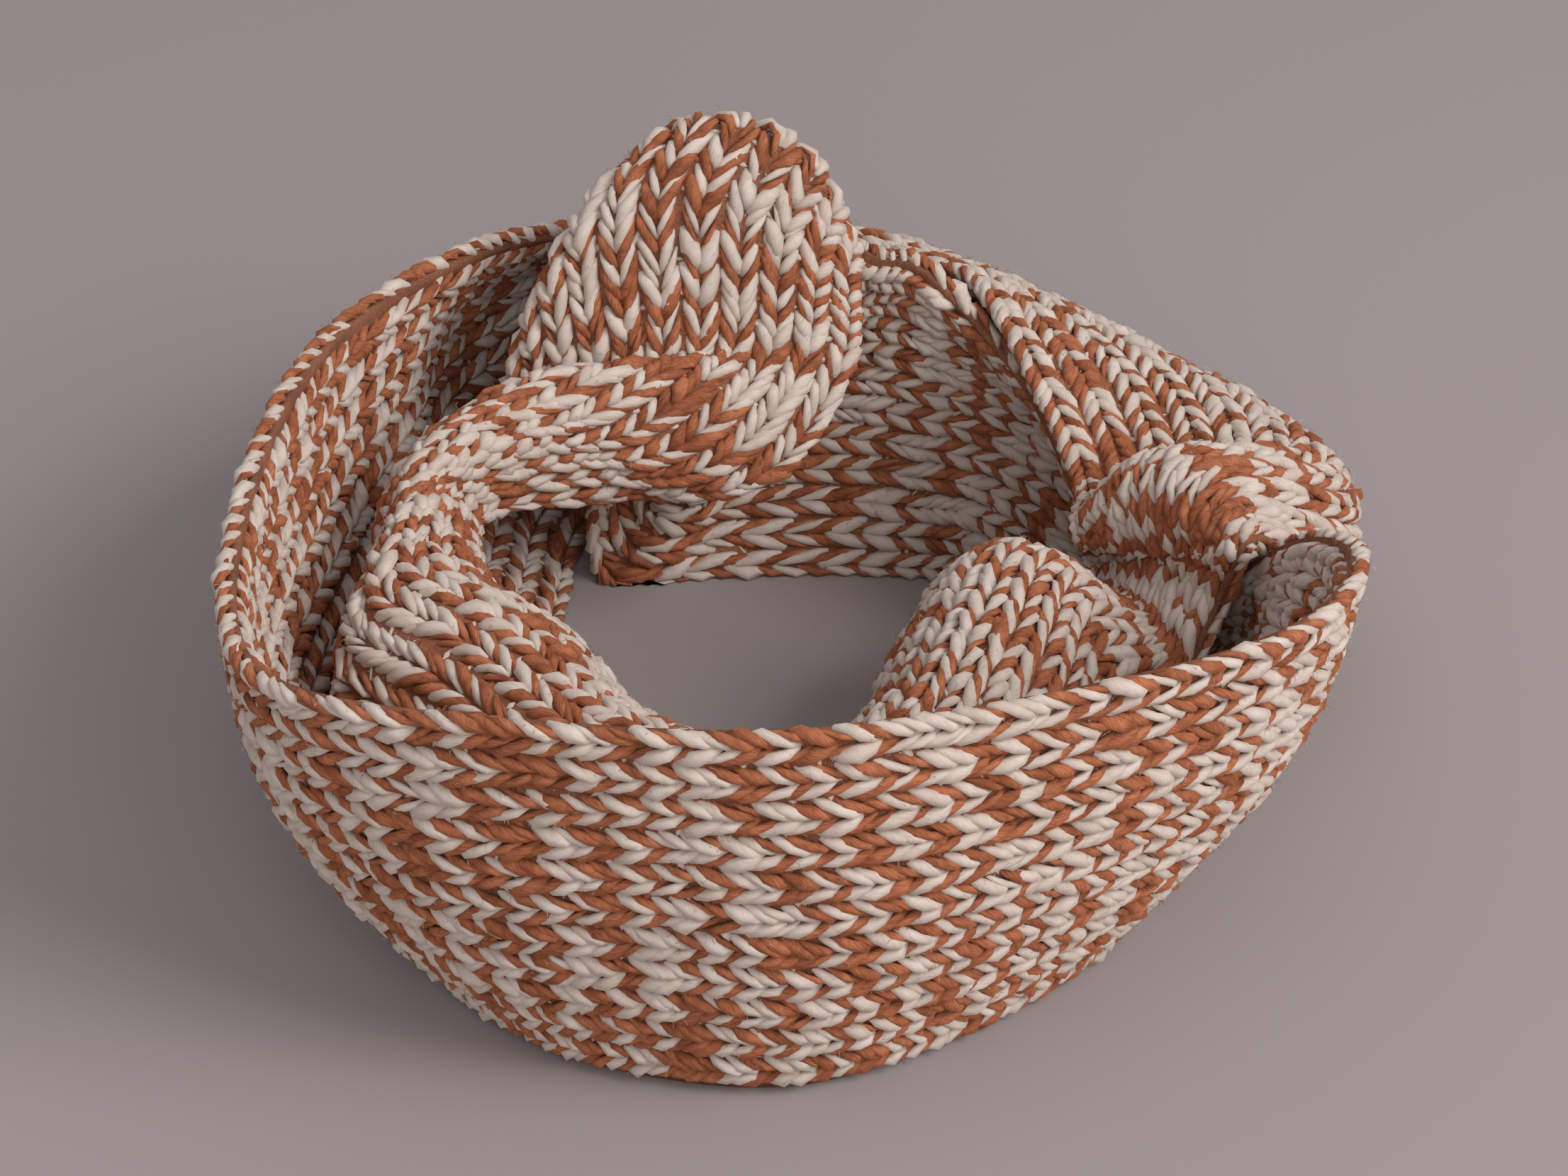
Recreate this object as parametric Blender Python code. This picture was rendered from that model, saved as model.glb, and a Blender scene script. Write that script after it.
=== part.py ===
"""Infinity scarf in chunky one by one rib: a closed band wound twice and laid on a flat surface."""

import bpy
import numpy as np

MM = 0.001
COLUMNS = 21
WALL_HALF = 2.0
RIB_RAISE = 1.3
STATION_STEP = 11.0
SEAM_GAP = 0.3
FINE = 96
FULLEST_BEND = 3.0
REST_HEIGHT = 2.5

# One row for each fold, in millimetres, in the order the band is wound.
# low and high are the two selvages, width is the cloth between them.
# arch, sway and twin share the slack out as one, one and a half, or two waves.
# lift turns the slack from outward (0) to upward (1).
ROWS = (
    # name            low x    y   z  high x    y    z  arch sway twin width lift
    ("front_mid",       5, -171, 0,  5, -208, 134, 1, 0, 0, 139.6, 0),
    ("front_right",     52, -144, 0,  80, -184, 132, 1, 0, 0, 141.4, 0),
    ("right",           82, -111, 0,  129, -150, 127, 1, 0, 0, 142, 0),
    ("right_turn",      90, -77, 0,  148, -108, 121, 1, 0, 0, 141, 0),
    ("right_hidden",    91, -30, 0,  140, -50, 92, 1, 0, 0, 110, 0),
    ("right_back",      84, 20, 0,  101, 14, 34, 1, 0, 0, 64, 0),
    ("back_right",      60, 70, 0,  71, 60, 74, 1, 0, 0, 90, 0),
    ("back_mid",        32, 81, 0,  42, 79, 103, 1, 0, 0, 106, 0),
    ("pivot",           -20, 80, 0,  28, 86, 104, 1, 0, 0, 118, 0),
    ("rise",            -54, 77, 0,  18, 91, 107, 1, 0, 0, 131, 0),
    ("rise_end",        -58, 88, 42,  12, 90, 110, 1, -0.08, 0, 128, 0.7),
    ("apex",            -53, 86, 86,  18, 84, 109, 1, -0.1, 0, 137, 1),
    ("lobe_top",        -76, 68, 76,  19, 74, 100, 1, 0, 0, 138, 1),
    ("lobe_mid",        -86, 50, 56,  18, 60, 82, 1, 0, 0, 114, 1),
    ("lobe_foot",       -91, 27, 43,  -4, 40, 58, 1, 0.38, 0, 140, 1),
    ("shelf",           -98, 6, 34,  -46, 38, 54, 1, 0.2, 0, 134, 1),
    ("coil_top",        -106, -18, 29,  -86, 18, 59, 1, 0, 0, 106, 1),
    ("coil_left",   -100,  -48, 20,  -82,  -24,  58, 1, 0, 0, 136, 1),
    ("coil_low",     -82,  -84, 10,  -57,  -46,  52, 1, 0, 0, 138, 1),
    ("inner_left",   -50, -126,  0,  -34,  -74,  40, 1, 0, 0, 140, 1),
    ("inner_front",    5, -152,  0,    4,  -86,  32, 1, 0, 0, 140, 1),
    ("inner_right",     42, -124, 0,  22, -60, 30, 1, 0, 0, 138, 1),
    ("curl",            76, -86, 20,  34, -24, 36, 1, 0, 0, 130, 1),
    ("curl_end",        90, -60, 36,  50, 0, 38, 1, 0, 0, 108, 1),
    ("right_inner",     109, -50, 44,  80, 6, 34, 1, 0, 0, 69, 1),
    ("flap_foot",       120, -36, 62,  89, 20, 42, 1, 0, 0, 71, 1),
    ("flap",            129, -38, 84,  84, 3, 60, 1, 0, 0, 71, 1),
    ("ridge",           152, 18, 34,  84, 17, 66, 1, 0.35, 0, 113, 1),
    ("over_top",        141, 79, 4,  70, 43, 88, 1, 0.1, 0, 136, 0.35),
    ("over_back",       96, 124, 0,  54, 84, 96, 1, 0, 0, 122, 0),
    ("outer_right",     62, 140, 0,  36, 104, 90, 1, 0, 0, 118, 0),
    ("outer_back",      28, 146, 0,  6, 124, 86, 1, 0, 0, 122, 0),
    ("outer_mid",       -18, 138, 0,  -30, 128, 90, 1, 0, 0, 132, 0),
    ("bowl_mid",        -58, 106, 0,  -70, 112, 97, 1, 0, 0, 130, 0),
    ("bowl_back",       -66, 60, 0,  -100, 81, 103, 1, 0, 0, 130, 0),
    ("bowl_left",       -70, 14, 0,  -130, 22, 109, 1, 0, 0, 136, 0),
    ("bowl_side",       -84, -52, 0,  -142, -58, 115, 1, 0, 0, 138, 0),
    ("bowl_corner",     -88, -112, 0,  -141, -132, 120, 1, 0, 0, 137, 0),
    ("front_left",      -73, -143, 0,  -122, -177, 126, 1, 0, 0, 140.4, 0),
    ("front_near",      -42, -165, 0,  -61, -203, 133, 1, 0, 0, 140.1, 0),
)

# A piece for each stretch that shows, with the rows where it starts and ends.
STRETCHES = (
    ("front_panel", -2.6, 3.5),
    ("back_centre", 3.5, 9.5),
    ("peak_lobe", 9.5, 14.6),
    ("inner_coil", 14.6, 19.5),
    ("inner_front", 19.5, 21.5),
    ("right_curl", 21.5, 24.2),
    ("right_flap", 24.2, 28.5),
    ("back_outer", 28.5, 33.3),
    ("left_outer", 33.3, 37.4),
)

COLOURS = {
    "front_panel": (0.60, 0.43, 0.33),
    "back_centre": (0.56, 0.40, 0.31),
    "peak_lobe": (0.62, 0.45, 0.35),
    "inner_coil": (0.60, 0.43, 0.34),
    "inner_front": (0.54, 0.38, 0.30),
    "right_curl": (0.61, 0.43, 0.33),
    "right_flap": (0.58, 0.41, 0.31),
    "back_outer": (0.55, 0.39, 0.30),
    "left_outer": (0.58, 0.42, 0.33),
}


def unit(v):
    """The same directions with length one."""
    return v / np.linalg.norm(v, axis=-1, keepdims=True)


def between_rows(u):
    """The table's columns at the places u, on smooth curves through its rows."""
    table = np.array([row[1:] for row in ROWS], float)
    u = np.asarray(u, float)
    index = np.floor(u).astype(int)
    f = (u - index)[:, None]
    p0, p1, p2, p3 = (table[(index + k) % len(ROWS)] for k in (-1, 0, 1, 2))
    start = (p2 - p0) / 2
    end = (p3 - p1) / 2
    return (
        (2 * f**3 - 3 * f**2 + 1) * p1
        + (f**3 - 2 * f**2 + f) * start
        + (-2 * f**3 + 3 * f**2) * p2
        + (f**3 - f**2) * end
    )


def folded_strip(bend, turn):
    """Strips of length one whose direction swings by bend times turn, as complex points."""
    heading = np.exp(1j * bend[:, None] * turn)
    step = (heading[:, 1:] + heading[:, :-1]) / (2 * FINE)
    return np.concatenate([np.zeros((len(bend), 1)), np.cumsum(step, axis=1)], axis=1)


def middle(u, across):
    """Points of the cloth's middle at the places u along it and the shares across."""
    row = between_rows(u)
    low, high, waves = row[:, 0:3], row[:, 3:6], row[:, 6:9]
    width, lift = row[:, 9], np.clip(row[:, 10:11], 0, 1)
    chord = high - low
    reach = np.linalg.norm(chord, axis=1)
    ahead = between_rows(np.asarray(u) + 0.05) - between_rows(np.asarray(u) - 0.05)
    outward = unit(np.cross(ahead[:, 0:3] + ahead[:, 3:6], chord))
    level = chord / reach[:, None]
    upward = unit(np.array([0.0, 0.0, 1.0]) - level[:, 2:3] * level)
    slack_way = unit(outward * (1 - lift) + upward * lift)
    share = np.linspace(0, 1, FINE + 1)
    waves = unit(waves)
    turn = sum(waves[:, [k]] * np.cos((k + 1) * np.pi * share)[None] for k in range(3))
    least = np.zeros(len(row))
    most = np.full(len(row), FULLEST_BEND)
    for _ in range(26):
        bend = (least + most) / 2
        too_long = np.abs(folded_strip(bend, turn)[:, -1]) * width > reach
        least = np.where(too_long, bend, least)
        most = np.where(too_long, most, bend)
    strip = folded_strip(least, turn)
    strip = strip / strip[:, -1:]
    place = np.asarray(across) * FINE
    index = np.minimum(place.astype(int), FINE - 1)
    part = place - index
    strip = strip[:, index] * (1 - part) + strip[:, index + 1] * part
    along_chord = strip.real[..., None] * chord[:, None]
    off_chord = (strip.imag * reach[:, None])[..., None] * slack_way[:, None]
    return low[:, None] + along_chord + off_chord


def pace(u):
    """How far the cloth's slowest and middle lines move for one row, in millimetres."""
    lines = middle(u + 0.02, [0, 0.5, 1]) - middle(u - 0.02, [0, 0.5, 1])
    speed = np.linalg.norm(lines, axis=-1) / 0.04
    return speed.min(axis=1), speed.mean(axis=1)


def stations(first, last):
    """Places along one stretch, evenly spaced, with half a seam left free at each end."""
    slowest, _ = pace(np.array([first, last]))
    first = first + SEAM_GAP / 2 / slowest[0]
    last = last - SEAM_GAP / 2 / slowest[1]
    u = np.linspace(first, last, 400)
    _, speed = pace(u)
    travelled = np.concatenate([[0], np.cumsum((speed[1:] + speed[:-1]) / 2 * np.diff(u))])
    count = max(3, int(round(travelled[-1] / STATION_STEP)))
    return np.interp(np.linspace(0, travelled[-1], count + 1), travelled, u)


def faces_of_cloth(u):
    """The outer and inner faces as grids of points, with the ribs raised on both."""
    across = np.linspace(0, 1, COLUMNS + 1)
    points = middle(u, across)
    along = middle(u + 0.03, across) - middle(u - 0.03, across)
    wide = middle(u, np.minimum(across + 0.02, 1)) - middle(u, np.maximum(across - 0.02, 0))
    normal = unit(np.cross(along, wide))
    odd = (np.arange(COLUMNS + 1) % 2)[None, :, None]
    outer = points + normal * (WALL_HALF + RIB_RAISE * odd)
    inner = points - normal * (WALL_HALF + RIB_RAISE * (1 - odd))
    resting = points[:, 0, 2] < REST_HEIGHT
    for face in (outer, inner):
        face[resting, 0, 2] = 0.0
        face[..., 2] = np.maximum(face[..., 2], 0.0)
    return outer, inner


def quad(a, b, c, d):
    """Two triangles for a four sided patch."""
    return [(a, b, c), (a, c, d)]


def wall(first, last):
    """Points and triangles of one closed stretch of the cloth."""
    outer, inner = faces_of_cloth(stations(first, last))
    rows, columns = outer.shape[:2]
    points = np.concatenate([outer.reshape(-1, 3), inner.reshape(-1, 3)])

    def out(i, j):
        return i * columns + j

    def ins(i, j):
        return rows * columns + i * columns + j

    triangles = []
    for i in range(rows - 1):
        for j in range(columns - 1):
            triangles += quad(out(i, j), out(i + 1, j), out(i + 1, j + 1), out(i, j + 1))
            triangles += quad(ins(i, j), ins(i, j + 1), ins(i + 1, j + 1), ins(i + 1, j))
        top = columns - 1
        triangles += quad(out(i, 0), ins(i, 0), ins(i + 1, 0), out(i + 1, 0))
        triangles += quad(out(i, top), out(i + 1, top), ins(i + 1, top), ins(i, top))
    for j in range(columns - 1):
        end = rows - 1
        triangles += quad(out(0, j), out(0, j + 1), ins(0, j + 1), ins(0, j))
        triangles += quad(out(end, j), ins(end, j), ins(end, j + 1), out(end, j + 1))
    return points, triangles


def cloth_material(name, colour):
    """A matt wool colour for one piece."""
    material = bpy.data.materials.new(name)
    material.use_nodes = True
    shader = material.node_tree.nodes["Principled BSDF"]
    shader.inputs["Base Color"].default_value = (*colour, 1.0)
    shader.inputs["Roughness"].default_value = 0.95
    return material


def add_piece(name, points, triangles):
    """One named object from its points in millimetres."""
    mesh = bpy.data.meshes.new(name)
    mesh.from_pydata([tuple(p) for p in points * MM], [], triangles)
    mesh.update()
    for polygon in mesh.polygons:
        polygon.use_smooth = True
    piece = bpy.data.objects.new(name, mesh)
    piece.data.materials.append(cloth_material(name + "_wool", COLOURS[name]))
    bpy.context.scene.collection.objects.link(piece)


def main():
    """Winds the band and sets it down with the middle of its box over the origin."""
    for old in list(bpy.data.objects):
        bpy.data.objects.remove(old, do_unlink=True)
    pieces = {name: wall(first, last) for name, first, last in STRETCHES}
    everything = np.concatenate([points for points, _ in pieces.values()])
    lowest = everything.min(axis=0)
    highest = everything.max(axis=0)
    origin = np.array([(lowest[0] + highest[0]) / 2, (lowest[1] + highest[1]) / 2, lowest[2]])
    for name, (points, triangles) in pieces.items():
        add_piece(name, points - origin, triangles)
        print(name, len(triangles), "triangles")


main()
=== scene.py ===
# %% [markdown]
# This lesson dresses one object: an infinity scarf, a closed band of chunky ribbed knitting that
# is wound into two rounds and laid down. The imported model already holds its walls, so the first
# step only loads them.

import math

import bpy
import numpy as np
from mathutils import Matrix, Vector
from mathutils.bvhtree import BVHTree


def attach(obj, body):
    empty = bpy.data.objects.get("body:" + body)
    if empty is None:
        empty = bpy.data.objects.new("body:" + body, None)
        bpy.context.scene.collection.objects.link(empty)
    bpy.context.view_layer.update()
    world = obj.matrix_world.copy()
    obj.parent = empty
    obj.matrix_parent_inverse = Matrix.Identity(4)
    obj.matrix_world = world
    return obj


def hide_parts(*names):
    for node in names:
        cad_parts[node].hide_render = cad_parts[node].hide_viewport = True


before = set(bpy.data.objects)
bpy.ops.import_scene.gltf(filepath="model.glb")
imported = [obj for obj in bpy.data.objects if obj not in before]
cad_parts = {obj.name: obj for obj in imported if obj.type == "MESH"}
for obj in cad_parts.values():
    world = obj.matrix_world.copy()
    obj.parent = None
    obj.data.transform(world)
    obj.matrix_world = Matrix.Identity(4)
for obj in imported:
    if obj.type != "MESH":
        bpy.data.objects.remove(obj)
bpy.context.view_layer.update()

# %% [markdown]
# A knitter would name two things first, how wide one raised column is and how long one stitch is.
# Everything else on the scarf is counted in those. The yarn is two singles held together, one
# cream and one rust, and each is about three millimetres thick.

# %% Sizes of the knitting
MM = 0.001
WALES = 10.5
COLUMNS = 11
BAND_WIDTH = 0.144
COLUMN_SPREAD = 0.957
STITCH = 8.7 * MM
STRAND = 1.55 * MM
RIB_CROWN = 2.7 * MM
RIB_GROOVE = -0.2 * MM
EDGE_ROUND = 3.0 * MM
CORE_HALF = 1.3 * MM
SET_DOWN = np.array([8.385, -16.600, 0.0])
chance = np.random.default_rng(20)

# %% [markdown]
# The band is laid in folds, and one row of this table stands for each fold. A row gives the two
# selvages, the width of cloth between them, and how the slack is shared out in waves: arch is one
# half wave, sway a whole one, twin three halves. Lift turns the slack from outward to upward.
# Rows are in millimetres, in the order in which the band is wound, and the last joins the first.

# %% The folds
ROWS = (
    # name            low x    y   z  high x    y    z  arch sway twin width lift
    ("front_mid",       5, -171,  0,    5, -208, 134, 1, 0, 0, 139.6, 0),
    ("front_right",    52, -144,  0,   80, -184, 132, 1, 0, 0, 141.4, 0),
    ("right",          82, -111,  0,  129, -150, 127, 1, 0, 0, 142, 0),
    ("right_turn",     90,  -77,  0,  148, -108, 121, 1, 0, 0, 141, 0),
    ("right_hidden",   91,  -30,  0,  140,  -50,  92, 1, 0, 0, 110, 0),
    ("right_back",     84,   20,  0,  101,   14,  34, 1, 0, 0,  64, 0),
    ("back_right",     60,   70,  0,   71,   60,  74, 1, 0, 0,  90, 0),
    ("back_mid",       32,   81,  0,   42,   79, 103, 1, 0, 0, 106, 0),
    ("pivot",         -20,   80,  0,   28,   86, 104, 1, 0, 0, 118, 0),
    ("rise",          -54,   77,  0,   18,   91, 107, 1, 0, 0, 131, 0),
    ("rise_end",      -58,   88, 42,   12,   90, 110, 1, -0.08, 0, 128, 0.7),
    ("apex",          -53,   86, 86,   18,   84, 109, 1, -0.1, 0, 137, 1),
    ("lobe_top",      -76,   68, 76,   19,   74, 100, 1, 0, 0, 138, 1),
    ("lobe_mid",      -86,   50, 56,   18,   60,  82, 1, 0, 0, 114, 1),
    ("lobe_foot",     -91,   27, 43,   -4,   40,  58, 1, 0.38, 0, 140, 1),
    ("shelf",         -98,    6, 34,  -46,   38,  54, 1, 0.2, 0, 134, 1),
    ("coil_top",     -106,  -18, 29,  -86,   18,  59, 1, 0, 0, 106, 1),
    ("coil_left",    -100,  -48, 20,  -82,  -24,  58, 1, 0, 0, 136, 1),
    ("coil_low",      -82,  -84, 10,  -57,  -46,  52, 1, 0, 0, 138, 1),
    ("inner_left",    -50, -126,  0,  -34,  -74,  40, 1, 0, 0, 140, 1),
    ("inner_front",     5, -152,  0,    4,  -86,  32, 1, 0, 0, 140, 1),
    ("inner_right",    42, -124,  0,   22,  -60,  30, 1, 0, 0, 138, 1),
    ("curl",           76,  -86, 20,   34,  -24,  36, 1, 0, 0, 130, 1),
    ("curl_end",       90,  -60, 36,   50,    0,  38, 1, 0, 0, 108, 1),
    ("right_inner",   109,  -50, 44,   80,    6,  34, 1, 0, 0,  69, 1),
    ("flap_foot",     120,  -36, 62,   89,   20,  42, 1, 0, 0,  71, 1),
    ("flap",          129,  -38, 84,   84,    3,  60, 1, 0, 0,  71, 1),
    ("ridge",         152,   18, 34,   84,   17,  66, 1, 0.35, 0, 113, 1),
    ("over_top",      141,   79,  4,   70,   43,  88, 1, 0.1, 0, 136, 0.35),
    ("over_back",      96,  124,  0,   54,   84,  96, 1, 0, 0, 122, 0),
    ("outer_right",    62,  140,  0,   36,  104,  90, 1, 0, 0, 118, 0),
    ("outer_back",     28,  146,  0,    6,  124,  86, 1, 0, 0, 122, 0),
    ("outer_mid",     -18,  138,  0,  -30,  128,  90, 1, 0, 0, 132, 0),
    ("bowl_mid",      -58,  106,  0,  -70,  112,  97, 1, 0, 0, 130, 0),
    ("bowl_back",     -66,   60,  0, -100,   81, 103, 1, 0, 0, 130, 0),
    ("bowl_left",     -70,   14,  0, -130,   22, 109, 1, 0, 0, 136, 0),
    ("bowl_side",     -84,  -52,  0, -142,  -58, 115, 1, 0, 0, 138, 0),
    ("bowl_corner",   -88, -112,  0, -141, -132, 120, 1, 0, 0, 137, 0),
    ("front_left",    -73, -143,  0, -122, -177, 126, 1, 0, 0, 140.4, 0),
    ("front_near",    -42, -165,  0,  -61, -203, 133, 1, 0, 0, 140.1, 0),
)
STRETCHES = (
    ("front_panel", -2.6, 3.5),
    ("back_centre", 3.5, 9.5),
    ("peak_lobe", 9.5, 14.6),
    ("inner_coil", 14.6, 19.5),
    ("inner_front", 19.5, 21.5),
    ("right_curl", 21.5, 24.2),
    ("right_flap", 24.2, 28.5),
    ("back_outer", 28.5, 33.3),
    ("left_outer", 33.3, 37.4),
)

# %% [markdown]
# Between two rows every number runs on a smooth curve, so the folds melt into each other. The
# cloth's width never stretches: the slack bends each section just enough for its two selvages to
# land where the table wants them, and the bend is found by halving a range again and again.

# %% The middle of the cloth
FINE = 96
FULLEST_BEND = 3.0
HALVINGS = 26


def unit(v):
    """The same directions with length one."""
    return v / np.linalg.norm(v, axis=-1, keepdims=True)


def between_rows(u):
    """The table's columns at the places u, on smooth curves through its rows."""
    table = np.array([row[1:] for row in ROWS], float)
    u = np.asarray(u, float)
    index = np.floor(u).astype(int)
    f = (u - index)[:, None]
    p0, p1, p2, p3 = (table[(index + k) % len(ROWS)] for k in (-1, 0, 1, 2))
    start = (p2 - p0) / 2
    end = (p3 - p1) / 2
    return (
        (2 * f**3 - 3 * f**2 + 1) * p1
        + (f**3 - 2 * f**2 + f) * start
        + (-2 * f**3 + 3 * f**2) * p2
        + (f**3 - f**2) * end
    )


def folded_strip(bend, turn):
    """Strips of length one whose direction swings by bend times turn, as complex points."""
    heading = np.exp(1j * bend[:, None] * turn)
    step = (heading[:, 1:] + heading[:, :-1]) / (2 * FINE)
    return np.concatenate([np.zeros((len(bend), 1)), np.cumsum(step, axis=1)], axis=1)


def middle(u, across):
    """Points of the cloth's middle, in metres, at the places u and the shares across."""
    row = between_rows(u)
    low, high, waves = row[:, 0:3], row[:, 3:6], row[:, 6:9]
    width, lift = row[:, 9], np.clip(row[:, 10:11], 0, 1)
    chord = high - low
    reach = np.linalg.norm(chord, axis=1)
    ahead = between_rows(np.asarray(u) + 0.05) - between_rows(np.asarray(u) - 0.05)
    outward = unit(np.cross(ahead[:, 0:3] + ahead[:, 3:6], chord))
    level = chord / reach[:, None]
    upward = unit(np.array([0.0, 0.0, 1.0]) - level[:, 2:3] * level)
    slack_way = unit(outward * (1 - lift) + upward * lift)
    share = np.linspace(0, 1, FINE + 1)
    waves = unit(waves)
    turn = sum(waves[:, [k]] * np.cos((k + 1) * np.pi * share)[None] for k in range(3))
    least = np.zeros(len(row))
    most = np.full(len(row), FULLEST_BEND)
    for _ in range(HALVINGS):
        bend = (least + most) / 2
        too_long = np.abs(folded_strip(bend, turn)[:, -1]) * width > reach
        least = np.where(too_long, bend, least)
        most = np.where(too_long, most, bend)
    strip = folded_strip(least, turn)
    strip = strip / strip[:, -1:]
    place = np.asarray(across) * FINE
    index = np.minimum(place.astype(int), FINE - 1)
    part = place - index
    strip = strip[:, index] * (1 - part) + strip[:, index + 1] * part
    along_chord = strip.real[..., None] * chord[:, None]
    off_chord = (strip.imag * reach[:, None])[..., None] * slack_way[:, None]
    return (low[:, None] + along_chord + off_chord - SET_DOWN) * MM


# %% [markdown]
# Stitches are all the same length, so the band is walked once, and its middle, its outward
# direction and its direction across are kept on a fine net with even steps along the cloth.
# Later steps read places off this net, which is far quicker than folding the cloth again.

# %% Walk the band
NET_STEP = 2.4 * MM
NET_ACROSS = 84

u_fine = np.linspace(-3, len(ROWS) - 3, 1600)
walk = middle(u_fine, [0.2, 0.5, 0.8])
pace = np.linalg.norm(np.diff(walk, axis=0), axis=-1).mean(axis=1)
walked = np.concatenate([[0], np.cumsum(pace)])
LENGTH = walked[-1]
net_rows = int(round(LENGTH / NET_STEP))
net_u = np.interp(np.arange(net_rows) * LENGTH / net_rows, walked, u_fine)
net_t = np.linspace(0, 1, NET_ACROSS + 1)
net_point = middle(net_u, net_t)
net_across = unit(np.gradient(net_point, axis=1))
net_ahead = unit(np.roll(net_point, -1, axis=0) - np.roll(net_point, 1, axis=0))
net_out = unit(np.cross(net_ahead, net_across))
print("the band is", round(LENGTH, 3), "m long")


def read_net(net, along, t):
    """The net's values at distances along the band, in metres, and at shares across it."""
    row = np.mod(along / LENGTH * net_rows, net_rows)
    i = np.floor(row).astype(int)
    a = (row - i)[..., None]
    column = np.clip(t, 0, 1) * NET_ACROSS
    j = np.minimum(np.floor(column).astype(int), NET_ACROSS - 1)
    b = (column - j)[..., None]
    i, k = i % net_rows, (i + 1) % net_rows
    near = net[i, j] * (1 - b) + net[i, j + 1] * b
    far = net[k, j] * (1 - b) + net[k, j + 1] * b
    return near * (1 - a) + far * a


# on the tall front panel the ribs are closed up a little at the rim and open at the foot
FRONT_EASE = 0.02
FRONT_REACH = 3.2
rows_from_front = np.minimum(np.abs(net_u), np.abs(net_u - len(ROWS)))
net_ease = FRONT_EASE * np.clip(1.25 - rows_from_front / FRONT_REACH, 0, 1)


def on_cloth(along, t, height, face):
    """Points at a height over one face (1 outer, -1 inner), rolled round the selvages."""
    ease = net_ease[np.mod(along / LENGTH * net_rows, net_rows).astype(int)]
    t = t + ease * np.sin(np.pi * np.clip(t, 0, 1))
    t = 0.5 + (t - 0.5) * COLUMN_SPREAD
    point = read_net(net_point, along, t)
    out = unit(read_net(net_out, along, t)) * face
    across = unit(read_net(net_across, along, t))
    past = (t - np.clip(t, 0, 1)) * BAND_WIDTH
    roll = np.minimum(np.abs(past) / EDGE_ROUND, 2.6)[..., None]
    away = out * np.cos(roll) + across * np.sign(past)[..., None] * np.sin(roll)
    return point + away * height[..., None], away


# %% [markdown]
# Under the stitches lies a plain brown core, a thin closed wall that follows the band. It stands
# for the depth of the rib, where little light gets in. Its brown is partly the yarn's own colour
# and partly painted shade, darker than the yarn so that the grooves look shaded. The stitches are
# pieces on it. Each stretch that shows has its own core.

# %% The core of the cloth
CORE_STEP = 6.0 * MM
CORE_ACROSS = 36
SEAM = 0.3 * MM


def new_piece(name, points, faces, fibre):
    """A mesh object. fibre tells each point its place in the wool, before the wool was bent."""
    mesh = bpy.data.meshes.new(name)
    size = faces.shape[1]
    mesh.vertices.add(len(points))
    mesh.vertices.foreach_set("co", points.astype(np.float32).ravel())
    mesh.loops.add(faces.size)
    mesh.loops.foreach_set("vertex_index", faces.astype(np.int32).ravel())
    mesh.polygons.add(len(faces))
    mesh.polygons.foreach_set("loop_start", np.arange(0, faces.size, size, dtype=np.int32))
    mesh.polygons.foreach_set("loop_total", np.full(len(faces), size, dtype=np.int32))
    mesh.polygons.foreach_set("use_smooth", np.full(len(faces), True))
    wool_place = mesh.attributes.new("fibre", "FLOAT_VECTOR", "POINT")
    wool_place.data.foreach_set("vector", fibre.astype(np.float32).ravel())
    mesh.update()
    mesh.validate()
    piece = bpy.data.objects.new(name, mesh)
    bpy.context.scene.collection.objects.link(piece)
    return piece


def grid_faces(rows, columns, shift=0):
    """Quads of a net of points, counted row by row."""
    i, j = np.meshgrid(np.arange(rows - 1), np.arange(columns - 1), indexing="ij")
    a = (i * columns + j).ravel() + shift
    return np.stack([a, a + columns, a + columns + 1, a + 1], axis=1)


def core(name, start, end):
    """The closed thin wall of one stretch, between two distances along the band."""
    rows = max(4, int((end - start) / CORE_STEP))
    along = np.linspace(start + SEAM / 2, end - SEAM / 2, rows)
    along, t = np.meshgrid(along, np.linspace(0, 1, CORE_ACROSS + 1), indexing="ij")
    middle_points = read_net(net_point, along, t)
    out = unit(read_net(net_out, along, t))
    sides = [middle_points + out * CORE_HALF, middle_points - out * CORE_HALF]
    for side in sides:
        side[..., 2] = np.maximum(side[..., 2], 0)
    columns = CORE_ACROSS + 1
    count = rows * columns
    outer = grid_faces(rows, columns)
    inner = grid_faces(rows, columns, count)[:, ::-1]
    rim_low = np.arange(rows) * columns
    rim_high = rim_low + columns - 1
    first = np.arange(columns)
    last = first + (rows - 1) * columns

    def band(edge, flip):
        quads = np.stack([edge[:-1], edge[1:], edge[1:] + count, edge[:-1] + count], axis=1)
        return quads[:, ::-1] if flip else quads

    rims = [band(rim_low, True), band(rim_high, False), band(first, False), band(last, True)]
    points = np.concatenate([side.reshape(-1, 3) for side in sides])
    return new_piece(name, points, np.concatenate([outer, inner] + rims), points)




def along_at(u):
    """How far along the band the place u between rows lies, past one whole round if need be."""
    if u > u_fine[-1]:
        return LENGTH + np.interp(u - len(ROWS), u_fine, walked)
    return np.interp(u, u_fine, walked)


spans = {name: (along_at(first), along_at(last)) for name, first, last in STRETCHES}
cores = {name: core(name + "_core", start, end) for name, (start, end) in spans.items()}
print("cores", len(cores))

# %% [markdown]
# Wool is matt and a little hairy, so light never gives it a hard glint: it is rough, with a soft
# sheen at grazing angles. A strand is not one flat colour either. Its fibres run along it and
# wind round it, so the streaks are drawn in the strand's own straightened place, kept on every
# point under the name fibre. Slow patches of light and dark lie over the streaks.

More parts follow.
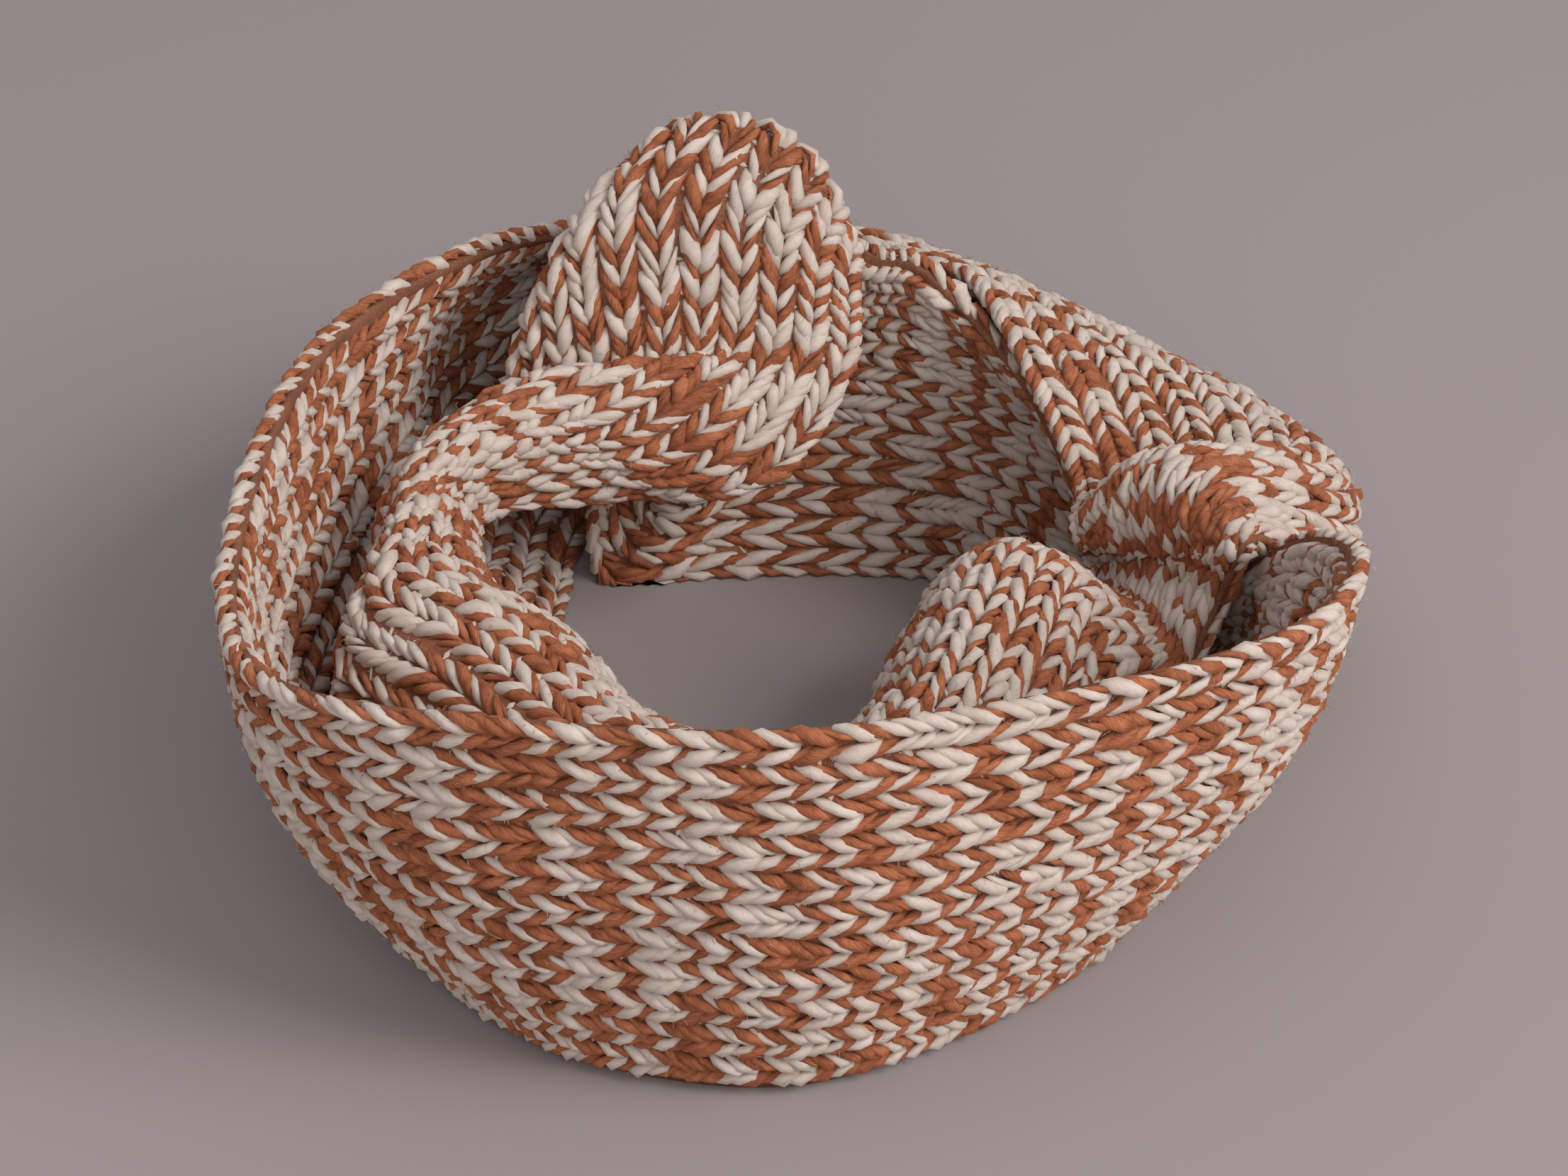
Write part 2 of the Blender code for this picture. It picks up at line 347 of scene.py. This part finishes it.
# %% Wool
CREAM = (0.64, 0.54, 0.475)
CREAM_SHADE = (0.55, 0.45, 0.385)
RUST = (0.47, 0.165, 0.080)
RUST_SHADE = (0.25, 0.083, 0.043)
# the core's brown is partly the yarn's colour and partly painted shade of the rib's grooves
CORE_BROWN_AND_PAINTED_SHADE = (0.30, 0.120, 0.067)
CORE_SHADE = (0.15, 0.062, 0.036)
HAIR_BROWN = (0.26, 0.12, 0.07)
HAIR_SHADE = (0.17, 0.056, 0.030)
STREAK_SCALE = (2600, 2600, 330)
PATCH_SCALE = (60, 60, 110)


def wool(name, colour, shade, sheen, dull):
    """Matt wool whose streaks follow the fibres, with slow patches and a fibrous bump."""
    material = bpy.data.materials.new(name)
    material.use_nodes = True
    nodes = material.node_tree.nodes
    links = material.node_tree.links
    shader = nodes["Principled BSDF"]
    shader.inputs["Roughness"].default_value = 1.0
    shader.inputs["Specular IOR Level"].default_value = 0.1
    shader.inputs["Sheen Weight"].default_value = sheen
    shader.inputs["Sheen Roughness"].default_value = 0.4
    shader.inputs["Sheen Tint"].default_value = (*[min(1, c * 1.3) for c in colour], 1)
    place = nodes.new("ShaderNodeAttribute")
    place.attribute_name = "fibre"

    def noise(scale, detail):
        stretch = nodes.new("ShaderNodeMapping")
        stretch.inputs["Scale"].default_value = scale
        links.new(place.outputs["Vector"], stretch.inputs["Vector"])
        texture = nodes.new("ShaderNodeTexNoise")
        texture.inputs["Scale"].default_value = 1.0
        texture.inputs["Detail"].default_value = detail
        links.new(stretch.outputs["Vector"], texture.inputs["Vector"])
        return texture.outputs["Fac"]

    def ramp(source, dark, light, from_share, to_share):
        tone = nodes.new("ShaderNodeValToRGB")
        tone.color_ramp.elements[0].position = from_share
        tone.color_ramp.elements[1].position = to_share
        tone.color_ramp.elements[0].color = (*dark, 1)
        tone.color_ramp.elements[1].color = (*light, 1)
        links.new(source, tone.inputs["Fac"])
        return tone.outputs["Color"]

    streaks = noise(STREAK_SCALE, 3)
    patches = noise(PATCH_SCALE, 2)
    mix = nodes.new("ShaderNodeMix")
    mix.data_type = "RGBA"
    mix.blend_type = "MULTIPLY"
    mix.inputs["Factor"].default_value = 1.0
    links.new(ramp(streaks, shade, colour, 0.30, 0.58), mix.inputs["A"])
    links.new(ramp(patches, dull, (1, 1, 1), 0.35, 0.62), mix.inputs["B"])
    links.new(mix.outputs["Result"], shader.inputs["Base Color"])
    bump = nodes.new("ShaderNodeBump")
    bump.inputs["Strength"].default_value = 0.22
    bump.inputs["Distance"].default_value = 0.3 * MM
    links.new(streaks, bump.inputs["Height"])
    links.new(bump.outputs["Normal"], shader.inputs["Normal"])
    return material


cream_wool = wool("cream_wool", CREAM, CREAM_SHADE, 0.45, (0.84, 0.80, 0.77))
rust_wool = wool("rust_wool", RUST, RUST_SHADE, 0.45, (0.55, 0.50, 0.47))
# the core's material carries painted shade: its brown is darkened for the shaded depth of the rib
core_wool_and_painted_shade = wool("core_wool_and_painted_shade", CORE_BROWN_AND_PAINTED_SHADE, CORE_SHADE, 0.1, (0.7, 0.7, 0.7))
cream_hair = wool("cream_hair", CREAM, CREAM, 0.2, (0.9, 0.9, 0.9))
rust_hair = wool("rust_hair", HAIR_BROWN, HAIR_SHADE, 0.2, (0.6, 0.6, 0.6))

# %% [markdown]
# A strand is a tube that follows a short path and comes to a point at both ends, which lie inside
# the cloth. All the strands of one kind have the same number of points, so whole arrays of them
# are made at once. The thickness is an array too, because this yarn is spun thick and thin.

# %% Strands
SPIN = 420.0
LUMPS = 0.11


def strands(paths, thickness, lifts, sides):
    """Points, triangles and fibre places of many tubes. paths is (tubes, stops, 3)."""
    tubes, stops = paths.shape[:2]
    ahead = unit(np.gradient(paths, axis=1))
    beside = unit(np.cross(ahead, lifts))
    over = np.cross(beside, ahead)
    turn = np.arange(sides) * 2 * np.pi / sides
    ring = (
        beside[:, 1:-1, None] * np.cos(turn)[None, None, :, None]
        + over[:, 1:-1, None] * np.sin(turn)[None, None, :, None]
    )
    fat = thickness[:, 1:-1, None] * (1 + chance.normal(0, LUMPS, (tubes, stops - 2, sides)))
    rings = paths[:, 1:-1, None] + ring * fat[..., None]
    points = np.concatenate([paths[:, :1], rings.reshape(tubes, -1, 3), paths[:, -1:]], axis=1)

    pieces = np.linalg.norm(np.diff(paths, axis=1), axis=-1)
    gone = np.concatenate([np.zeros((tubes, 1)), np.cumsum(pieces, axis=1)], axis=1)
    spun = turn[None, None] + SPIN * gone[:, 1:-1, None]
    far = np.repeat(gone[:, 1:-1, None], sides, axis=2)
    straight = np.stack([fat * np.cos(spun), fat * np.sin(spun), far], axis=-1)
    ends = np.zeros((tubes, 2, 3))
    ends[:, 1, 2] = gone[:, -1]
    straight = np.concatenate([ends[:, :1], straight.reshape(tubes, -1, 3), ends[:, 1:]], axis=1)
    straight[..., 2] += chance.uniform(0, 9, (tubes, 1))

    k = np.arange(sides)
    following = (k + 1) % sides
    final = 1 + (stops - 2) * sides
    faces = [np.stack([np.zeros(sides, int), 1 + k, 1 + following], axis=1)]
    for stop in range(stops - 3):
        here = 1 + stop * sides
        there = here + sides
        faces.append(np.stack([here + k, there + k, here + following], axis=1))
        faces.append(np.stack([here + following, there + k, there + following], axis=1))
    tip = final - sides
    faces.append(np.stack([tip + k, np.full(sides, final), tip + following], axis=1))
    faces = np.concatenate(faces)
    each = points.shape[1]
    faces = (faces[None] + (np.arange(tubes) * each)[:, None, None]).reshape(-1, 3)
    return points.reshape(-1, 3), faces, straight.reshape(-1, 3)


# %% [markdown]
# The band hides much of itself, and finely made stitches there would be wasted. So light is sent
# out from every stitch in a few directions, and the share that gets away from the cores tells
# how open its place is. Open stitches are made finest, half hidden ones plainer, the rest plain.

# %% How open each stitch lies
COURSES = int(round(LENGTH / STITCH))
PITCH = LENGTH / COURSES
RAYS = 20
RAY_START = 5 * MM
RAY_REACH = 0.5
FLOOR_NEAR = 0.05


def column_places(face):
    """The columns' middles as shares across, on the outer (1) or the inner (-1) face."""
    first = 0.5 if face > 0 else 0.0
    return (first + np.arange(COLUMNS)) / WALES


def all_cores():
    """One tree of all the cores, to send rays at."""
    points, polygons, shift = [], [], 0
    for shell in cores.values():
        mesh = shell.data
        points += [tuple(v.co) for v in mesh.vertices]
        polygons += [[shift + index for index in p.vertices] for p in mesh.polygons]
        shift += len(mesh.vertices)
    return BVHTree.FromPolygons(points, polygons)


def openness(face, tree):
    """The share of rays that get away, by course and column."""
    k = np.arange(RAYS) + 0.5
    tilt = np.arccos(1 - 0.85 * k / RAYS)
    round_way = k * np.pi * (1 + math.sqrt(5))
    course, column = np.meshgrid(np.arange(COURSES), np.arange(COLUMNS), indexing="ij")
    along = (course + 0.5) * PITCH
    t = column_places(face)[column]
    start, away = on_cloth(along, t, np.full(along.shape, RAY_START), float(face))
    aside = unit(np.cross(away, [0.31, 0.22, 0.93]))
    third = np.cross(away, aside)
    free = np.zeros(along.shape)
    for tip, way in zip(tilt, round_way):
        rays = away * math.cos(tip) + aside * math.sin(tip) * math.cos(way)
        rays = rays + third * math.sin(tip) * math.sin(way)
        for i in range(COURSES):
            for j in range(COLUMNS):
                d = rays[i, j]
                p = start[i, j]
                if d[2] < 0 and p[2] < -d[2] * FLOOR_NEAR:
                    continue
                if tree.ray_cast(Vector(p), Vector(d), RAY_REACH)[0] is None:
                    free[i, j] += 1 / RAYS
    return free


core_tree = all_cores()
open_share = {face: openness(face, core_tree) for face in (1, -1)}
for face, share in open_share.items():
    print("face", face, "open places", round(float((share > 0.3).mean()), 2))

# %% [markdown]
# Thick and thin comes in runs: a cream slub swells over two or three stitches and squeezes the
# rust beside it. The yarn runs across the band, course by course, so the runs are read off one
# long smooth line of chance along the yarn, not off the surface.

# %% Marl
RUN = 2.6
CHANCES = 8192
YARN_PER_COURSE = 23.0


def runs(yarn_place, seed):
    """Smooth chance from -1 to 1 along the yarn, which changes over about one run."""
    source = np.random.default_rng(seed).uniform(-1, 1, CHANCES)
    place = yarn_place / RUN
    i = np.floor(place).astype(int)
    f = place - i
    f = f * f * (3 - 2 * f)
    return source[i % CHANCES] * (1 - f) + source[(i + 1) % CHANCES] * f


def yarn_at(course, column, face):
    """The place along the yarn of one stitch, which goes to and fro across the band."""
    return course * YARN_PER_COURSE + np.where(course % 2 == 0, column, COLUMNS - column) * 2 + (
        face < 0
    )


# %% [markdown]
# One stitch shows as a V: two legs that start wide, in the grooves at both sides of the column,
# and meet on its middle, where they duck under the next stitch. Both faces of a rib show such
# columns, half a column apart. Each leg holds a cream and a rust strand, turned a little round
# each other, so one is sometimes on top. A strand swells in the middle and thins to both ends.

# %% Stitches
LEG_REACH = 0.72
LEG_FOOT = 0.45
TIP_GAP = 0.02
S_SHAPE = 0.45
STRAND_APART = 0.25
BOTH_ALIKE = 0.74
# how finely a strand is made: stops along it, sides round it, and the openness that asks for it
GRADES = (
    (7, 6, 0.45, 2.0),
    (5, 5, 0.12, 0.45),
    (4, 4, -1.0, 0.12),
)
STOP_PLACES = {
    7: (0.0, 0.08, 0.27, 0.50, 0.73, 0.92, 1.0),
    5: (0.0, 0.17, 0.50, 0.83, 1.0),
    4: (0.0, 0.28, 0.72, 1.0),
}


def stitch_strands(face, course, column, stops, sides):
    """Cream and rust tubes of the stitches at some courses and columns of one face."""
    course, column = np.repeat(course, 2), np.repeat(column, 2)
    count = len(course)
    side = np.tile((-1, 1), count // 2)
    middle_t = column_places(face)[column]
    s = np.array(STOP_PLACES[stops])[None]
    yarn = yarn_at(course, column, face)
    slub = runs(yarn, 1)
    swap = runs(yarn + 900, 2)
    flip = np.where(runs(yarn + 300, 4) > 0.35, -1, 1)
    wander = chance.normal(0, 0.055, (count, 4))
    smooth = s * s * (3 - 2 * s)
    sweep = 1 - (s * (1 - S_SHAPE) + smooth * S_SHAPE)
    crown = np.sin(np.pi * (0.05 + 0.78 * s)) ** 0.8
    swell = np.sin(np.pi * (0.02 + 0.96 * s)) ** 0.55
    found = {"cream": [], "rust": []}
    for strand in (1, -1):
        shift = strand * flip * STRAND_APART
        along_share = -LEG_REACH + 2 * LEG_REACH * s + shift[:, None] + wander[:, :1]
        foot = LEG_FOOT + wander[:, 1:2] * 0.6
        tip = TIP_GAP + wander[:, 2:3] * 0.4
        t = middle_t[:, None] + side[:, None] * (tip + (foot - tip) * sweep) / WALES
        twist = chance.normal(0, 0.45, (count, 1)) + strand * (s - 0.5) * 2.2
        height = RIB_GROOVE + (RIB_CROWN - RIB_GROOVE) * crown + STRAND * 0.5 * np.sin(twist)
        height = height - 1.5 * MM * (1 - s) ** 8 - 2.4 * MM * s**8
        along = (course[:, None] + 0.5 + along_share) * PITCH
        paths, lifts = on_cloth(along, t, height, float(face))
        fatness = 1.05 + strand * (0.10 + 0.36 * slub) + chance.normal(0, 0.09, count)
        uneven = 1 + 0.12 * np.sin(s * 9 + chance.uniform(0, 6.3, (count, 1)))
        thickness = STRAND * fatness[:, None] * swell * uneven
        own = np.full(count, strand > 0)
        is_cream = np.where(swap > BOTH_ALIKE, True, np.where(swap < -BOTH_ALIKE, False, own))
        for colour, pick in (("cream", is_cream), ("rust", ~is_cream)):
            found[colour].append((paths[pick], thickness[pick], lifts[pick]))
    made = {}
    for colour, groups in found.items():
        paths, thickness, lifts = (np.concatenate([g[k] for g in groups]) for k in range(3))
        made[colour] = strands(paths, thickness, lifts, sides), paths, lifts
    return made


# %% [markdown]
# In the groove between two columns the back of the rib peeks through as small bumps that lie
# across it, one to a course. They are short arcs, low down, so they only show where the columns
# part.

# %% Purl bumps
BUMP = 1.15 * MM
BUMP_HEIGHT = 0.9 * MM


def purl_bumps(face, course, column, stops, sides):
    """Short arcs of yarn across the grooves beside some stitches of one face."""
    inside = column < COLUMNS - 1
    course, column = course[inside], column[inside]
    count = len(course)
    middle_t = column_places(face)[column] + 0.5 / WALES
    s = np.array(STOP_PLACES[stops])[None] * 2 - 1
    lean = chance.normal(0, 0.16, (count, 1))
    along = (course[:, None] + 0.05 + chance.normal(0, 0.10, (count, 1)) + lean * s) * PITCH
    t = middle_t[:, None] + 0.27 * s / WALES + 0 * along
    height = BUMP_HEIGHT + chance.normal(0, 0.2 * MM, (count, 1)) - 1.3 * MM * s**2
    paths, lifts = on_cloth(along, t, height, float(face))
    thickness = BUMP * (1 + chance.normal(0, 0.18, (count, 1))) * (1 - 0.5 * s**2)
    is_cream = runs(yarn_at(course, column, face) + 400, 3) > 0.1
    return {
        "cream": strands(paths[is_cream], thickness[is_cream], lifts[is_cream], sides),
        "rust": strands(paths[~is_cream], thickness[~is_cream], lifts[~is_cream], sides),
    }


# %% [markdown]
# Wool singles shed a halo of fine hairs. Each hair here is a slim closed sliver, bent once, that
# starts on a strand and leans away from it, which is enough to soften the edges of the strands.

# %% Hairs
HAIR = 0.06 * MM
HAIR_REACH = 4.5 * MM


def hairs(paths, lifts, share):
    """Slivers that leave some of the strands."""
    tubes, stops = paths.shape[:2]
    count = int(tubes * share)
    which = chance.integers(0, tubes, count)
    stop = chance.integers(1, stops - 1, count)
    lift = lifts[which, stop]
    ahead = unit(paths[which, stop + 1] - paths[which, stop - 1])
    aside = np.cross(ahead, lift)
    lean = chance.normal(0, 1, (count, 3))
    first = unit(lift * 0.9 + ahead * lean[:, :1] + aside * lean[:, 1:2] * 0.9)
    second = unit(first * 0.4 + ahead * lean[:, 2:3] + aside * chance.normal(0, 0.9, (count, 1)))
    long = chance.uniform(0.3, 1.0, (count, 1)) * HAIR_REACH
    root = paths[which, stop] + lift * STRAND * 0.7
    knee = root + first * long * 0.5
    path = np.stack([root, knee, knee + second * long * 0.5], axis=1)
    thickness = np.full((count, 3), HAIR)
    side_way = unit(np.cross(second, first) + 1e-6)
    return strands(path, thickness, np.repeat(side_way[:, None], 3, axis=1), 3)


# %% [markdown]
# Now each stretch gets its pieces: the core, the cream strands, the rust strands and the hairs.
# The stitches are sorted into the three grades, and the open ones get most of the hairs.

# %% Dress the stretches
HAIR_SHARES = (2.0, 0.4, 0.0)
LEAST_HEIGHT = 0.2 * MM


def joined(parts):
    """One array of points, one of faces and one of fibre places from several."""
    points, faces, fibre, shift = [], [], [], 0
    for p, f, w in parts:
        points.append(p)
        faces.append(f + shift)
        fibre.append(w)
        shift += len(p)
    return np.concatenate(points), np.concatenate(faces), np.concatenate(fibre)


def yarn_parts(first_course, last_course):
    """All the strands and hairs between two courses, by colour."""
    parts = {"cream": [], "rust": []}
    hair_parts = {"cream": [], "rust": []}
    course, column = np.meshgrid(
        np.arange(first_course, last_course), np.arange(COLUMNS), indexing="ij"
    )
    course, column = course.ravel(), column.ravel()
    for face in (1, -1):
        share = open_share[face][course % COURSES, column]
        for (stops, sides, least, most), hair_share in zip(GRADES, HAIR_SHARES):
            pick = (share >= least) & (share < most)
            if not pick.any():
                continue
            made = stitch_strands(face, course[pick], column[pick], stops, sides)
            for colour, (tubes, paths, lifts) in made.items():
                parts[colour].append(tubes)
                if hair_share:
                    hair_parts[colour].append(hairs(paths, lifts, hair_share))
            if least > 0:
                bumps = purl_bumps(face, course[pick], column[pick], 5 if stops > 5 else 4, 4)
                for colour, tubes in bumps.items():
                    parts[colour].append(tubes)
    return parts, hair_parts


total = 0
for node, first_row, last_row in STRETCHES:
    start, end = spans[node]
    first_course = int(math.ceil(start / PITCH - 0.5))
    last_course = int(math.ceil(end / PITCH - 0.5))
    parts, hair_parts = yarn_parts(first_course, last_course)
    # the core gets the material with painted shade of the grooves
    cores[node].data.materials.append(core_wool_and_painted_shade)
    others = []
    for name, made, finish in (
        (node + "_cream", parts["cream"], cream_wool),
        (node + "_rust", parts["rust"], rust_wool),
        (node + "_cream_hair", hair_parts["cream"], cream_hair),
        (node + "_rust_hair", hair_parts["rust"], rust_hair),
    ):
        points, faces, fibre = joined(made)
        points[:, 2] = np.maximum(points[:, 2], LEAST_HEIGHT)
        piece = new_piece(name, points, faces, fibre)
        piece.data.materials.append(finish)
        total += len(faces)
        others.append(piece)
        print(name, len(faces), "triangles")
    for piece in [cores[node]] + others:
        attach(piece, "root")
    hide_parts(node)
print("triangles of yarn", total)

# %% [markdown]
# The scarf lies on a plain warm grey floor. The light is a large soft lamp from the upper right
# and in front, with a weaker one from the front so that the shadows stay open.

# %% Floor
FLOOR_TONE = (0.35, 0.298, 0.289)
floor_material = bpy.data.materials.new("floor_paper")
floor_material.use_nodes = True
paper = floor_material.node_tree.nodes["Principled BSDF"]
paper.inputs["Base Color"].default_value = (*FLOOR_TONE, 1)
paper.inputs["Roughness"].default_value = 0.9
paper.inputs["Specular IOR Level"].default_value = 0.1
bpy.ops.mesh.primitive_plane_add(size=14, location=(0, 0, -0.0004))
floor = bpy.context.object
floor.name = "floor"
floor.data.materials.append(floor_material)

# %% Lights


def lamp(name, place, aim, size, power, tint=(1, 1, 1)):
    """A square soft lamp that looks from place to aim."""
    light = bpy.data.lights.new(name, "AREA")
    light.size = size
    light.energy = power
    light.color = tint
    item = bpy.data.objects.new(name, light)
    item.location = place
    way = Vector(aim) - Vector(place)
    item.rotation_euler = way.to_track_quat("-Z", "Y").to_euler()
    bpy.context.scene.collection.objects.link(item)


CENTRE = (0, 0, 0.06)
lamp("key", (1.7, -1.2, 1.8), CENTRE, 1.3, 50)
lamp("fill", (0.2, -2.4, 1.3), CENTRE, 1.6, 21)
world = bpy.data.worlds.new("room")
world.use_nodes = True
world.node_tree.nodes["Background"].inputs["Color"].default_value = (0.94, 0.96, 1.0, 1)
world.node_tree.nodes["Background"].inputs["Strength"].default_value = 0.5
bpy.context.scene.world = world
bpy.context.scene.view_settings.view_transform = "Standard"

# %% [markdown]
# The camera looks down at about thirty two degrees through a long lens, from the front. The lens
# follows from two driving numbers: how far away it is, and how many pixels show one millimetre.

# %% Camera
IMAGE_WIDTH = 2212
SENSOR = 36.0
CAMERA_TILT = math.radians(32)
CAMERA_DISTANCE = 1.6
PIXELS_PER_MM = 5.0
target = Vector((np.array([0, 0, 45.0]) - SET_DOWN) * MM)
camera_data = bpy.data.cameras.new("camera")
camera_data.sensor_width = SENSOR
camera_data.lens = PIXELS_PER_MM * CAMERA_DISTANCE / MM / IMAGE_WIDTH * SENSOR
camera = bpy.data.objects.new("camera", camera_data)
back_off = Vector((0, -math.cos(CAMERA_TILT), math.sin(CAMERA_TILT))) * CAMERA_DISTANCE
camera.location = target + back_off
camera.rotation_euler = (target - camera.location).to_track_quat("-Z", "Y").to_euler()
bpy.context.scene.collection.objects.link(camera)
bpy.context.scene.camera = camera
